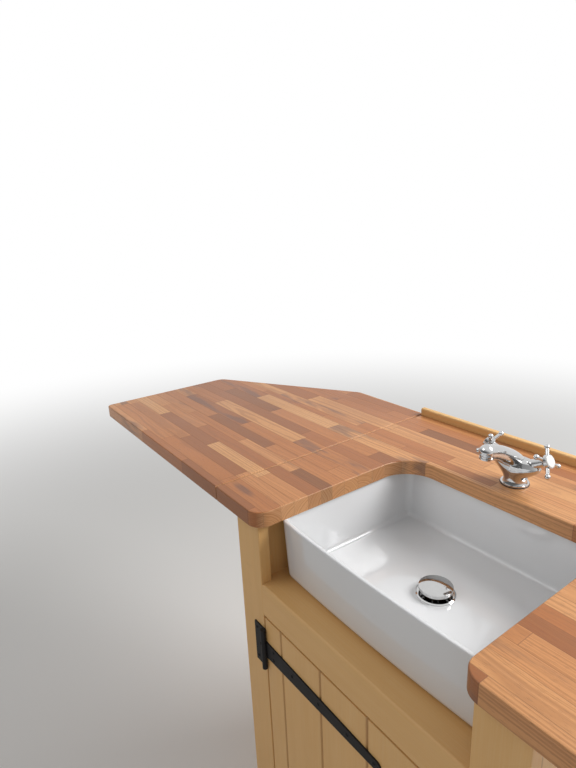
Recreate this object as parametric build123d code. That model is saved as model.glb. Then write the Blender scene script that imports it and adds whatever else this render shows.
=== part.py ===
from build123d import *
from math import cos, radians, sin
import os

# Kitchen sink unit with a folding worktop flap, in millimetres.
# While it is modelled, X runs right along the wall from the joint between flap and worktop,
# Y runs from the worktop's front edge to the wall, and Z runs up from the floor.
# The finished pieces are moved so that the origin is under the middle of the whole unit.

os.makedirs("parts", exist_ok=True)

# Worktop
TOP_HEIGHT = 860.0          # top surface above the floor
TOP_LENGTH = 740.0
TOP_DEPTH = 600.0
TOP_THICK = 30.0
TOP_ARRIS = 2.5             # rounding of the upper edges
CORNER_R = 29.0             # rounded corners of the worktop in plan
COVER_SIDE = 12.0           # how far the worktop covers the sink's rim at each side
COVER_BACK = 17.0           # and at the back
CUTOUT_BACK_R = 68.0

# Batten along the wall
BATTEN_HEIGHT = 17.0
BATTEN_DEPTH = 12.0
BATTEN_ROUND = 4.0

# Flap
FLAP_LENGTH = 637.0
FLAP_GAP = 3.0
FLAP_END_DEPTH = 372.0      # length of the far end's straight edge
FLAP_BACK_LENGTH = 235.0    # length of the back edge before it is cut off at an angle
FLAP_CORNER_R = 12.0
FLAP_CUT_R = 30.0

# Flap hinges
LEAF_WIDTH = 38.0
LEAF_LENGTH = 64.0
LEAF_THICK = 2.5
LEAF_PIN_R = 1.8
LEAF_BARREL_R = 4.0
LEAF_CLEARANCE = 0.5
LEAF_COUNT = 3
LEAF_EDGE = 75.0            # first and last hinge's middle from the worktop's edges
PIN_CLEARANCE = 0.08

# Sink
SINK_WIDTH = 450.0
SINK_DEPTH = 350.0
SINK_HEIGHT = 126.0
SINK_FROM_JOINT = 131.0     # joint between flap and worktop to the sink's left side
SINK_FRONT = 50.0           # worktop's front edge to the sink's front
SINK_BOW = 6.0              # how far the front bulges
SINK_WALL = 7.0
SINK_FLOOR = 16.0
SINK_TAPER = 3.0            # degrees that the walls lean in
SINK_OUTER_R = 22.0
SINK_INNER_R = 18.0
SINK_FOOT_R = 16.0
SINK_COVE_R = 9.0
SINK_RIM_R = 2.5

# Waste
WASTE_HOLE_GAP = 2.05       # tail to the hole in the sink
FLANGE_R = 34.5
FLANGE_THICK = 2.5
TAIL_R = 20.95
TAIL_WALL = 2.5
TAIL_LENGTH = 48.0          # below the sink
UNDERCUT_WIDTH = 2.5        # groove that ends the tail's thread under the nut
UNDERCUT_DEPTH = 1.0
UNDERCUT_SPACE = 2.0        # groove to the nut
NUT_R = 32.0
NUT_THICK = 10.0
HUB_R = 6.5
STEM_R = 4.0
CAP_R = 29.5
CAP_RIM = 5.5
CAP_DOME = 4.5
CAP_LIFT = 7.5              # underside of the open cap above the flange
CAP_STEM = 27.0

# Cabinet
CABINET_LEFT = 53.0         # joint to the cabinet's left side
STILE_WIDTH = 74.0
STILE_THICK = 22.0
OVERHANG = 12.0             # worktop's front edge to the cabinet's face
STILE_ROUND = 2.0
RAIL_HEIGHT = 66.0          # rail under the sink
LEDGE_DEPTH = 60.0
LEDGE_ROUND = 5.0
BOTTOM_RAIL_HEIGHT = 70.0
PANEL_THICK = 18.0
BACK_SPACE = 10.0           # back of the carcass to the wall
BEARER_WIDTH = 50.0
BEARER_HEIGHT = 40.0
LINING_THICK = 18.0
LINING_GAP = 18.0           # lining to the sink's side
BACK_RAIL_HEIGHT = 95.0
FLOOR_THICK = 18.0
GROOVE_WIDTH = 6.0
GROOVE_DEPTH = 3.0
BOARD_PITCH = 113.0

# Door
DOOR_GAP = 5.0
DOOR_THICK = 18.0
FIRST_BOARD = 50.0
DOOR_LEDGE_HEIGHT = 80.0
DOOR_LEDGE_THICK = 18.0
DOOR_LEDGE_INSET = 30.0
DOOR_LEDGE_BEVEL = 6.0
BRACE_WIDTH = 60.0
HINGE_FROM_EDGE = 71.0      # strap's middle from the door's top and bottom

# Tee hinges
STRAP_LENGTH = 310.0
STRAP_ROOT = 35.0
STRAP_TIP = 18.0
STRAP_THICK = 3.0
PLATE_WIDTH = 27.0
PLATE_HEIGHT = 90.0
BARREL_R = 5.5
TEE_PIN_R = 3.0
KNUCKLE_GAP = 0.5

# Door handle
HANDLE_SPAN = 110.0
HANDLE_REACH = 30.0
HANDLE_BAR_R = 5.0
HANDLE_BEND_R = 18.0
HANDLE_FOOT_R = 11.0
HANDLE_FOOT_THICK = 4.0
HANDLE_FROM_EDGE = 38.0     # handle's middle from the door's free edge
HANDLE_FROM_TOP = 120.0

# Magnetic catch
CATCH_LENGTH = 46.0
CATCH_HEIGHT = 14.0
CATCH_DEPTH = 18.0
CATCH_GAP = 0.5
CATCH_PLATE_THICK = 2.0

# Tap
TAP_BEHIND_SINK = 41.0      # sink's back to the tap's middle
TAP_BASE_R = 25.5
TAP_BASE_THICK = 4.0
TAP_BEAD_R = 22.5
TAP_WAIST_R = 20.5
TAP_WAIST_HEIGHT = 10.0
TAP_RIM_HEIGHT = 43.0       # the body opens out to an oval rim
TAP_RIM_LENGTH = 48.0       # half of the rim along the wall
TAP_RIM_DEPTH = 20.0        # half of the rim from front to back
TAP_CROWN = 9.0             # height of the rounded top above the rim
TAP_CROWN_TAPER = 30.0
TAP_CROWN_ROUND = 3.0
VALVE_OUT = 31.0            # middle of the body to the foot of each valve
VALVE_RISE = 5.0            # foot of each valve above the rim
VALVE_TILT = 60.0           # degrees that each valve leans out from upright
VALVE_BULB_R = 10.5
BONNET_LENGTH = 25.0
BONNET_R = 9.5
BONNET_TIP_R = 7.5
SPINDLE_R = 4.0
SPINDLE_LENGTH = 7.5
SPOUT_ROOT_BACK = 8.0       # root of the spout behind the body's middle
SPOUT_ROOT_HEIGHT = 37.0
SPOUT_RISE = 45.0           # degrees that the spout climbs at its root
SPOUT_KNEE_REACH = 37.0     # where its climb eases, in front of the body's middle
SPOUT_KNEE_HEIGHT = 69.0
SPOUT_REACH = 95.0          # body's middle to the nozzle's middle
SPOUT_HEIGHT = 91.5         # middle of the spout's round end
SPOUT_LEVEL = 12.0          # degrees that the spout still climbs at its end
SPOUT_ROOT_R = 15.5
SPOUT_TIP_R = 12.5
SPOUT_END_R = 13.2
NOZZLE_R = 11.5
NOZZLE_LIP_R = 12.3
NOZZLE_LIP = 3.0
NOZZLE_BASE = 79.0          # mouth above the worktop
MOUTH_WALL = 2.5
MOUTH_DEPTH = 10.0
SHANK_R = 16.5
SHANK_LENGTH = 50.0         # below the tap's base
SHANK_CLEARANCE = 1.0
SHANK_NUT_R = 24.0
SHANK_NUT_THICK = 8.0
HUB_HEIGHT = 12.0
HUB_TOP_R = 12.6
HUB_ROOT_R = 8.5
HUB_RIM = 1.4               # metal left round the white disc
SPOKE_R = 3.3
SPOKE_REACH = 28.0
SPOKE_TURN = 56.0           # degrees that the spokes stand turned from the body's length
BALL_R = 5.0
INDEX_THICK = 2.5

# Places worked out from the sizes above
TOP_UNDER = TOP_HEIGHT - TOP_THICK
SINK_LEFT = SINK_FROM_JOINT
SINK_RIGHT = SINK_LEFT + SINK_WIDTH
SINK_BACK = SINK_FRONT + SINK_DEPTH
CENTRE_X = SINK_LEFT + SINK_WIDTH / 2
CUTOUT_LEFT = SINK_LEFT + COVER_SIDE
CUTOUT_RIGHT = SINK_RIGHT - COVER_SIDE
CUTOUT_DEPTH = SINK_BACK - COVER_BACK
CABINET_RIGHT = 2 * CENTRE_X - CABINET_LEFT
OPENING_LEFT = CABINET_LEFT + STILE_WIDTH
OPENING_RIGHT = CABINET_RIGHT - STILE_WIDTH
FACE_Y = OVERHANG
FRAME_BACK = FACE_Y + STILE_THICK
CARCASS_BACK = TOP_DEPTH - BACK_SPACE
SINK_BASE = TOP_UNDER - SINK_HEIGHT
SINK_BED = SINK_BASE + SINK_FLOOR
WASTE_Y = SINK_FRONT + SINK_DEPTH / 2
RAIL_UNDER = SINK_BASE - RAIL_HEIGHT
DOOR_LEFT = OPENING_LEFT + DOOR_GAP
DOOR_RIGHT = OPENING_RIGHT - DOOR_GAP
DOOR_BASE = BOTTOM_RAIL_HEIGHT + DOOR_GAP
DOOR_TOP = RAIL_UNDER - DOOR_GAP
DOOR_BACK = FACE_Y + DOOR_THICK
UPPER_HINGE_Z = DOOR_TOP - HINGE_FROM_EDGE
LOWER_HINGE_Z = DOOR_BASE + HINGE_FROM_EDGE
TEE_PIN_X = OPENING_LEFT + DOOR_GAP / 2
TEE_PIN_Y = FACE_Y - BARREL_R
FLAP_PIN_X = -FLAP_GAP / 2
FLAP_PIN_Z = TOP_UNDER - LEAF_BARREL_R
TAP_Y = SINK_BACK + TAP_BEHIND_SINK
VALVE_HEIGHT = TAP_RIM_HEIGHT + VALVE_RISE
INDEX_R = HUB_TOP_R - HUB_RIM
HANDLE_X = DOOR_RIGHT - HANDLE_FROM_EDGE
HANDLE_Z = DOOR_TOP - HANDLE_FROM_TOP
HANDLE_FRONT = FACE_Y - HANDLE_REACH - HANDLE_BAR_R
ORIGIN = Location((
    (FLAP_GAP + FLAP_LENGTH - TOP_LENGTH) / 2,
    -(TOP_DEPTH + HANDLE_FRONT) / 2,
    0,
))


def block(x, y, z):
    """A box from the low and high value along each axis."""
    size = [high - low for low, high in (x, y, z)]
    middle = [(low + high) / 2 for low, high in (x, y, z)]
    return Pos(*middle) * Box(*size)


def corners_at(shape, x, y):
    """The upright edges or plan corners of a shape that stand at one point in plan."""
    return [v for v in shape.vertices() if abs(v.X - x) < 0.01 and abs(v.Y - y) < 0.01]


def soften_top(solid, radius):
    """Round every edge of the topmost face."""
    return fillet(solid.edges().group_by(Axis.Z)[-1], radius)


def worktop():
    top = Pos(TOP_LENGTH / 2, TOP_DEPTH / 2) * Rectangle(TOP_LENGTH, TOP_DEPTH)
    cutout = Pos(CENTRE_X, CUTOUT_DEPTH / 2) * Rectangle(CUTOUT_RIGHT - CUTOUT_LEFT, CUTOUT_DEPTH)
    plan = top - cutout
    for x in (CUTOUT_LEFT, CUTOUT_RIGHT):
        plan = fillet(corners_at(plan, x, CUTOUT_DEPTH), CUTOUT_BACK_R)
        plan = fillet(corners_at(plan, x, 0), CORNER_R)
    plan = fillet(corners_at(plan, TOP_LENGTH, 0), CORNER_R)
    board = soften_top(extrude(Pos(0, 0, TOP_UNDER) * plan, TOP_THICK), TOP_ARRIS)
    tap_hole = Pos(CENTRE_X, TAP_Y, TOP_HEIGHT) * Cylinder(SHANK_R + SHANK_CLEARANCE, 3 * TOP_THICK)
    return board - tap_hole


def back_batten():
    batten = block(
        (0, TOP_LENGTH),
        (TOP_DEPTH - BATTEN_DEPTH, TOP_DEPTH),
        (TOP_HEIGHT, TOP_HEIGHT + BATTEN_HEIGHT),
    )
    front = batten.edges().filter_by(Axis.X).group_by(Axis.Z)[-1].sort_by(Axis.Y)[0]
    return fillet(front, BATTEN_ROUND)


def flap():
    near_end = -FLAP_GAP
    far_end = near_end - FLAP_LENGTH
    cut_start = near_end - FLAP_BACK_LENGTH
    outline = Polyline(
        (near_end, 0),
        (far_end, 0),
        (far_end, FLAP_END_DEPTH),
        (cut_start, TOP_DEPTH),
        (near_end, TOP_DEPTH),
        close=True,
    )
    plan = make_face(outline)
    plan = fillet(corners_at(plan, far_end, 0), FLAP_CORNER_R)
    plan = fillet(corners_at(plan, far_end, FLAP_END_DEPTH), FLAP_CUT_R)
    plan = fillet(corners_at(plan, cut_start, TOP_DEPTH), FLAP_CUT_R)
    return soften_top(extrude(Pos(0, 0, TOP_UNDER) * plan, TOP_THICK), TOP_ARRIS)


def leaf_places():
    """The middle of each flap hinge along the joint."""
    span = TOP_DEPTH - 2 * LEAF_EDGE
    return [LEAF_EDGE + span * i / (LEAF_COUNT - 1) for i in range(LEAF_COUNT)]


def along_y(radius, low, high):
    """A round bar along Y on the flap's pin line."""
    bar = Cylinder(radius, high - low, rotation=(90, 0, 0))
    return Pos(FLAP_PIN_X, (low + high) / 2, FLAP_PIN_Z) * bar


def flap_leaf(side, middle):
    """One leaf under the worktop (side 1) or under the flap (side -1)."""
    third = LEAF_LENGTH / 3
    low = middle - LEAF_LENGTH / 2
    inner = LEAF_BARREL_R + LEAF_CLEARANCE
    x_near = FLAP_PIN_X + side * inner
    x_far = FLAP_PIN_X + side * (inner + LEAF_WIDTH)
    z = (TOP_UNDER - LEAF_THICK, TOP_UNDER)
    leaf = block(sorted((x_near, x_far)), (low, low + LEAF_LENGTH), z)
    if side > 0:
        spans = [
            (low, low + third - LEAF_CLEARANCE / 2),
            (low + 2 * third + LEAF_CLEARANCE / 2, low + LEAF_LENGTH),
        ]
    else:
        spans = [(low + third + LEAF_CLEARANCE / 2, low + 2 * third - LEAF_CLEARANCE / 2)]
    for start, end in spans:
        leaf += block(sorted((FLAP_PIN_X, x_near)), (start, end), z)
        leaf += along_y(LEAF_BARREL_R, start, end)
    if side > 0:
        return leaf + along_y(LEAF_PIN_R, low, low + LEAF_LENGTH)
    return leaf - along_y(LEAF_PIN_R + PIN_CLEARANCE, low, low + LEAF_LENGTH)


def flap_leaves(side):
    return Compound(children=[flap_leaf(side, y) for y in leaf_places()])


def sink_plan(inset, corner_r):
    """The basin's outline, its front bulging a little, drawn in by the wall."""
    left = SINK_LEFT + inset
    right = SINK_RIGHT - inset
    front = SINK_FRONT + SINK_BOW + inset
    back = SINK_BACK - inset
    outline = Polyline((left, front), (left, back), (right, back), (right, front))
    bow = ThreePointArc((right, front), (CENTRE_X, SINK_FRONT + inset), (left, front))
    plan = make_face(outline + bow)
    for x in (left, right):
        for y in (front, back):
            plan = fillet(corners_at(plan, x, y), corner_r)
    return plan


def sink():
    outer = extrude(Pos(0, 0, TOP_UNDER) * sink_plan(0, SINK_OUTER_R), -SINK_HEIGHT, taper=SINK_TAPER)
    outer = fillet(outer.edges().group_by(Axis.Z)[0], SINK_FOOT_R)
    hollow = extrude(
        Pos(0, 0, TOP_UNDER) * sink_plan(SINK_WALL, SINK_INNER_R),
        SINK_FLOOR - SINK_HEIGHT,
        taper=SINK_TAPER,
    )
    hollow = fillet(hollow.edges().group_by(Axis.Z)[0], SINK_COVE_R)
    basin = outer - hollow
    basin = fillet(basin.edges().group_by(Axis.Z)[-1], SINK_RIM_R)
    return basin - Pos(CENTRE_X, WASTE_Y, SINK_BASE) * Cylinder(TAIL_R + WASTE_HOLE_GAP, 4 * SINK_FLOOR)


def turned(points):
    """A solid turned about a vertical line, from half-profile points (radius, height)."""
    profile = make_face(Polyline(*[(r, 0, h) for r, h in points], close=True))
    return revolve(profile, Axis.Z)


def waste_body():
    bore = TAIL_R - TAIL_WALL
    tail_end = SINK_BASE - TAIL_LENGTH
    groove_top = SINK_BASE - NUT_THICK - UNDERCUT_SPACE
    groove_low = groove_top - UNDERCUT_WIDTH
    shell = turned([
        (bore, tail_end),
        (TAIL_R, tail_end),
        (TAIL_R, groove_low),
        (TAIL_R - UNDERCUT_DEPTH, groove_low),
        (TAIL_R - UNDERCUT_DEPTH, groove_top),
        (TAIL_R, groove_top),
        (TAIL_R, SINK_BED),
        (FLANGE_R, SINK_BED),
        (FLANGE_R, SINK_BED + FLANGE_THICK / 2),
        (FLANGE_R - FLANGE_THICK, SINK_BED + FLANGE_THICK),
        (bore + FLANGE_THICK, SINK_BED + FLANGE_THICK),
        (bore, SINK_BED),
    ])
    web_top = SINK_BED - FLANGE_THICK
    web_low = web_top - SINK_FLOOR
    web = Pos(0, 0, (web_top + web_low) / 2) * (
        Box(2 * bore + TAIL_WALL, TAIL_WALL, web_top - web_low)
        + Box(TAIL_WALL, 2 * bore + TAIL_WALL, web_top - web_low)
        + Cylinder(HUB_R, web_top - web_low)
    )
    guide = Pos(0, 0, web_low) * Cylinder(STEM_R + 2 * PIN_CLEARANCE, 4 * SINK_FLOOR)
    return Pos(CENTRE_X, WASTE_Y) * (shell + web - guide)


def waste_nut():
    low = SINK_BASE - NUT_THICK
    ring = Cylinder(NUT_R, NUT_THICK) - Cylinder(TAIL_R + PIN_CLEARANCE, 2 * NUT_THICK)
    flats = extrude(RegularPolygon(NUT_R, 8), NUT_THICK / 2, both=True)
    return Pos(CENTRE_X, WASTE_Y, low + NUT_THICK / 2) * (ring & flats)


def waste_cap():
    under = SINK_BED + FLANGE_THICK + CAP_LIFT
    rim_top = under + CAP_RIM
    top = rim_top + CAP_DOME
    crown = TangentArc((0, top), (CAP_R, rim_top), tangent=(1, 0))
    rest = Polyline(
        (CAP_R, rim_top),
        (CAP_R, under),
        (STEM_R, under),
        (STEM_R, under - CAP_STEM),
        (0, under - CAP_STEM),
        (0, top),
    )
    return Pos(CENTRE_X, WASTE_Y) * revolve(Plane.XZ * make_face(crown + rest), Axis.Z)


def stile(left):
    board = block((left, left + STILE_WIDTH), (FACE_Y, FRAME_BACK), (0, TOP_UNDER))
    front = board.edges().filter_by(Axis.Z).group_by(Axis.Y)[0]
    return fillet(front, STILE_ROUND)


def sink_ledge_rail():
    face = block((OPENING_LEFT, OPENING_RIGHT), (FACE_Y, FRAME_BACK), (RAIL_UNDER, SINK_BASE))
    face = fillet(face.edges().filter_by(Axis.X).group_by(Axis.Z)[-1].sort_by(Axis.Y)[0], LEDGE_ROUND)
    behind = block(
        (CABINET_LEFT + PANEL_THICK, CABINET_RIGHT - PANEL_THICK),
        (FRAME_BACK, FACE_Y + LEDGE_DEPTH),
        (RAIL_UNDER, SINK_BASE),
    )
    return face + behind


def bottom_rail():
    return block((OPENING_LEFT, OPENING_RIGHT), (FACE_Y, FRAME_BACK), (0, BOTTOM_RAIL_HEIGHT))


def vee(length):
    """A bar along Z that cuts a V groove into a face that looks along -Y."""
    half = GROOVE_WIDTH / 2
    section = Polyline((-half, 0), (half, 0), (0, GROOVE_DEPTH), close=True)
    return extrude(make_face(section), length)


def side_panel(side):
    """A boarded side, its grooves on the outer face; side -1 is the left one."""
    outer = CENTRE_X + side * (CENTRE_X - CABINET_LEFT)
    inner = outer - side * PANEL_THICK
    panel = block(sorted((outer, inner)), (FRAME_BACK, CARCASS_BACK), (0, TOP_UNDER))
    y = FRAME_BACK + BOARD_PITCH
    while y < CARCASS_BACK - GROOVE_WIDTH:
        panel -= Pos(outer, y, 0) * Rot(0, 0, 90 * side) * vee(TOP_UNDER)
        y += BOARD_PITCH
    return panel


def sink_lining(side):
    near = CENTRE_X + side * (SINK_WIDTH / 2 + LINING_GAP)
    far = near + side * LINING_THICK
    return block(sorted((near, far)), (FRAME_BACK, CARCASS_BACK - PANEL_THICK), (SINK_BASE, TOP_UNDER))


def sink_bearer(side):
    far = CENTRE_X + side * (SINK_WIDTH / 2 + LINING_GAP + LINING_THICK)
    near = far - side * (BEARER_WIDTH + LINING_THICK)
    return block(
        sorted((near, far)),
        (FACE_Y + LEDGE_DEPTH, CARCASS_BACK - PANEL_THICK),
        (SINK_BASE - BEARER_HEIGHT, SINK_BASE),
    )


def back_rail(top):
    return block(
        (CABINET_LEFT + PANEL_THICK, CABINET_RIGHT - PANEL_THICK),
        (CARCASS_BACK - PANEL_THICK, CARCASS_BACK),
        (top - BACK_RAIL_HEIGHT, top),
    )


def cupboard_floor():
    return block(
        (CABINET_LEFT + PANEL_THICK, CABINET_RIGHT - PANEL_THICK),
        (FRAME_BACK, CARCASS_BACK),
        (BOTTOM_RAIL_HEIGHT - FLOOR_THICK, BOTTOM_RAIL_HEIGHT),
    )


def door_boards():
    door = block((DOOR_LEFT, DOOR_RIGHT), (FACE_Y, DOOR_BACK), (DOOR_BASE, DOOR_TOP))
    x = DOOR_LEFT + FIRST_BOARD
    while x < DOOR_RIGHT - GROOVE_WIDTH:
        door -= Pos(x, FACE_Y, DOOR_BASE) * vee(DOOR_TOP - DOOR_BASE)
        x += BOARD_PITCH
    return door


def door_ledge(middle):
    ledge = block(
        (DOOR_LEFT + DOOR_LEDGE_INSET, DOOR_RIGHT - DOOR_LEDGE_INSET),
        (DOOR_BACK, DOOR_BACK + DOOR_LEDGE_THICK),
        (middle - DOOR_LEDGE_HEIGHT / 2, middle + DOOR_LEDGE_HEIGHT / 2),
    )
    back = ledge.faces().sort_by(Axis.Y)[-1]
    return chamfer(back.edges(), DOOR_LEDGE_BEVEL)


def door_brace():
    """The slanting brace, from the hinge side at the bottom to the free side at the top."""
    low_z = LOWER_HINGE_Z + DOOR_LEDGE_HEIGHT / 2
    high_z = UPPER_HINGE_Z - DOOR_LEDGE_HEIGHT / 2
    left = DOOR_LEFT + DOOR_LEDGE_INSET
    right = DOOR_RIGHT - DOOR_LEDGE_INSET
    outline = Polyline(
        (left, low_z),
        (left + BRACE_WIDTH, low_z),
        (right, high_z),
        (right - BRACE_WIDTH, high_z),
        close=True,
    )
    face = Plane(origin=(0, DOOR_BACK, 0), x_dir=(1, 0, 0), z_dir=(0, -1, 0)) * make_face(outline)
    return extrude(face, -DOOR_LEDGE_THICK)


def tee_barrel(radius, low, high):
    return Pos(TEE_PIN_X, TEE_PIN_Y, (low + high) / 2) * Cylinder(radius, high - low)


def hinge_plate(middle):
    """The upright plate on the stile, with two knuckles and the pin."""
    low, high = middle - PLATE_HEIGHT / 2, middle + PLATE_HEIGHT / 2
    right = TEE_PIN_X - BARREL_R - KNUCKLE_GAP
    y = (FACE_Y - STRAP_THICK, FACE_Y)
    plate = block((right - PLATE_WIDTH, right), y, (low, high))
    for start, end in (
        (low, middle - STRAP_ROOT / 2 - KNUCKLE_GAP),
        (middle + STRAP_ROOT / 2 + KNUCKLE_GAP, high),
    ):
        plate += block((right, TEE_PIN_X), y, (start, end)) + tee_barrel(BARREL_R, start, end)
    return plate + tee_barrel(TEE_PIN_R, low, high)


def hinge_strap(middle):
    """The long tapered strap on the door, with the middle knuckle."""
    start = TEE_PIN_X
    neck = TEE_PIN_X + BARREL_R + KNUCKLE_GAP
    end = start + STRAP_LENGTH
    root, tip = STRAP_ROOT / 2, STRAP_TIP / 2
    outline = Polyline((neck, root), (start, root), (start, -root), (neck, -root), (end - tip, -tip))
    nose = ThreePointArc((end - tip, -tip), (end, 0), (end - tip, tip))
    back = Line((end - tip, tip), (neck, root))
    plane = Plane(origin=(0, FACE_Y - STRAP_THICK, middle), x_dir=(1, 0, 0), z_dir=(0, -1, 0))
    strap = extrude(plane * make_face(outline + nose + back), -STRAP_THICK)
    strap += tee_barrel(BARREL_R, middle - root, middle + root)
    return strap - tee_barrel(TEE_PIN_R + PIN_CLEARANCE, middle - PLATE_HEIGHT, middle + PLATE_HEIGHT)


def door_handle():
    """A bent round bar on two round feet."""
    half = HANDLE_SPAN / 2
    path = FilletPolyline(
        (0, 0, -half),
        (0, -HANDLE_REACH, -half),
        (0, -HANDLE_REACH, half),
        (0, 0, half),
        radius=HANDLE_BEND_R,
    )
    bar = sweep(Plane(origin=path @ 0, z_dir=path % 0) * Circle(HANDLE_BAR_R), path=path)
    for z in (-half, half):
        foot = Cylinder(HANDLE_FOOT_R, HANDLE_FOOT_THICK, rotation=(90, 0, 0))
        bar += Pos(0, -HANDLE_FOOT_THICK / 2, z) * foot
    return Pos(HANDLE_X, FACE_Y, HANDLE_Z) * bar


def catch_body():
    """The magnet, under the rail at the door's free side."""
    right = OPENING_RIGHT - HANDLE_FROM_EDGE
    front = DOOR_BACK + CATCH_PLATE_THICK + CATCH_GAP
    return block(
        (right - CATCH_LENGTH, right),
        (front, front + CATCH_DEPTH),
        (RAIL_UNDER - CATCH_HEIGHT, RAIL_UNDER),
    )


def catch_plate():
    right = OPENING_RIGHT - HANDLE_FROM_EDGE
    return block(
        (right - CATCH_LENGTH, right),
        (DOOR_BACK, DOOR_BACK + CATCH_PLATE_THICK),
        (RAIL_UNDER - CATCH_HEIGHT, DOOR_TOP - CATCH_PLATE_THICK),
    )


def at_tap(shape):
    return Pos(CENTRE_X, TAP_Y, TOP_HEIGHT) * shape


def valve_axis(side):
    """The line of one valve, from its foot on the body; side -1 is the left one."""
    return Pos(side * VALVE_OUT, 0, VALVE_HEIGHT) * Rot(0, side * VALVE_TILT, 0)


def rod(radius, start, end, tip_radius=None):
    """A round bar or taper along Z."""
    foot = (Align.CENTER, Align.CENTER, Align.MIN)
    if tip_radius is None:
        return Pos(0, 0, start) * Cylinder(radius, end - start, align=foot)
    return Pos(0, 0, start) * Cone(radius, tip_radius, end - start, align=foot)


def tap_column():
    """The waisted column that opens out like a glass to an oval rim, with a rounded top."""
    middle_height = (TAP_WAIST_HEIGHT + TAP_RIM_HEIGHT) / 2
    middle_length = (TAP_WAIST_R + TAP_RIM_LENGTH) / 2
    cup = loft([
        Pos(0, 0, TAP_BASE_THICK) * Ellipse(TAP_BEAD_R, TAP_BEAD_R),
        Pos(0, 0, TAP_WAIST_HEIGHT) * Ellipse(TAP_WAIST_R, TAP_WAIST_R),
        Pos(0, 0, middle_height) * Ellipse(middle_length, TAP_WAIST_R),
        Pos(0, 0, TAP_RIM_HEIGHT) * Ellipse(TAP_RIM_LENGTH, TAP_RIM_DEPTH),
    ])
    crown = extrude(
        Pos(0, 0, TAP_RIM_HEIGHT) * Ellipse(TAP_RIM_LENGTH, TAP_RIM_DEPTH),
        TAP_CROWN,
        taper=TAP_CROWN_TAPER,
    )
    crown = fillet(crown.edges().group_by(Axis.Z)[-1], TAP_CROWN_ROUND)
    return cup + crown


def spout():
    """The spout that climbs forwards to a round end, with the nozzle under it."""
    rise = radians(SPOUT_RISE)
    level = radians(SPOUT_LEVEL)
    path = Spline(
        (0, SPOUT_ROOT_BACK, SPOUT_ROOT_HEIGHT),
        (0, -SPOUT_KNEE_REACH, SPOUT_KNEE_HEIGHT),
        (0, -SPOUT_REACH, SPOUT_HEIGHT),
        tangents=[(0, -cos(rise), sin(rise)), (0, -cos(level), sin(level))],
    )
    rings = [
        Plane(origin=path @ share, z_dir=path % share)
        * Circle(SPOUT_ROOT_R + (SPOUT_TIP_R - SPOUT_ROOT_R) * share)
        for share in (0, 0.5, 1)
    ]
    tube = sweep(Sketch() + rings, path=path, multisection=True)
    end = Pos(0, 0, SPOUT_HEIGHT) * Sphere(SPOUT_END_R) + rod(NOZZLE_R, NOZZLE_BASE, SPOUT_HEIGHT)
    end += rod(NOZZLE_LIP_R, NOZZLE_BASE, NOZZLE_BASE + NOZZLE_LIP)
    bore = rod(NOZZLE_R - MOUTH_WALL, NOZZLE_BASE - NOZZLE_LIP, NOZZLE_BASE + MOUTH_DEPTH)
    front = Pos(0, -SPOUT_REACH, 0)
    return tube + front * end - front * bore


def tap_body():
    body = tap_column() + spout()
    body += rod(TAP_BASE_R, 0, TAP_BASE_THICK) + rod(SHANK_R, -SHANK_LENGTH, 0)
    for side in (-1, 1):
        valve = Sphere(VALVE_BULB_R) + rod(BONNET_R, 0, BONNET_LENGTH, BONNET_TIP_R)
        valve += rod(SPINDLE_R, BONNET_LENGTH, BONNET_LENGTH + SPINDLE_LENGTH)
        body += valve_axis(side) * valve
    return at_tap(body)


def tap_shank_nut():
    nut = extrude(RegularPolygon(SHANK_NUT_R, 6), -SHANK_NUT_THICK)
    nut -= Cylinder(SHANK_R + PIN_CLEARANCE, 4 * SHANK_NUT_THICK)
    return Pos(CENTRE_X, TAP_Y, TOP_UNDER) * nut


def tap_handle(side):
    """A cross handle with four ball-ended spokes, bored for the spindle."""
    start = BONNET_LENGTH + KNUCKLE_GAP
    middle = start + HUB_HEIGHT / 2
    top = start + HUB_HEIGHT
    handle = rod(HUB_ROOT_R, start, middle, HUB_TOP_R) + rod(HUB_TOP_R, middle, top)
    for turn in range(4):
        spoke = Pos(SPOKE_REACH / 2, 0, 0) * Cylinder(SPOKE_R, SPOKE_REACH, rotation=(0, 90, 0))
        spoke += Pos(SPOKE_REACH, 0, 0) * Sphere(BALL_R)
        handle += Pos(0, 0, middle) * Rot(0, 0, 90 * turn + SPOKE_TURN) * spoke
    handle -= rod(INDEX_R, top - INDEX_THICK / 2, top + INDEX_THICK)
    handle -= rod(SPINDLE_R + PIN_CLEARANCE, 0, BONNET_LENGTH + SPINDLE_LENGTH + KNUCKLE_GAP)
    return at_tap(valve_axis(side) * handle)


def tap_index(side):
    """The domed white disc let into the handle's middle."""
    start = BONNET_LENGTH + KNUCKLE_GAP + HUB_HEIGHT - INDEX_THICK / 2
    disc = rod(INDEX_R - PIN_CLEARANCE, start, start + INDEX_THICK)
    disc = fillet(disc.edges().group_by(Axis.Z)[-1], INDEX_THICK / 2)
    return at_tap(valve_axis(side) * disc)


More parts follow.
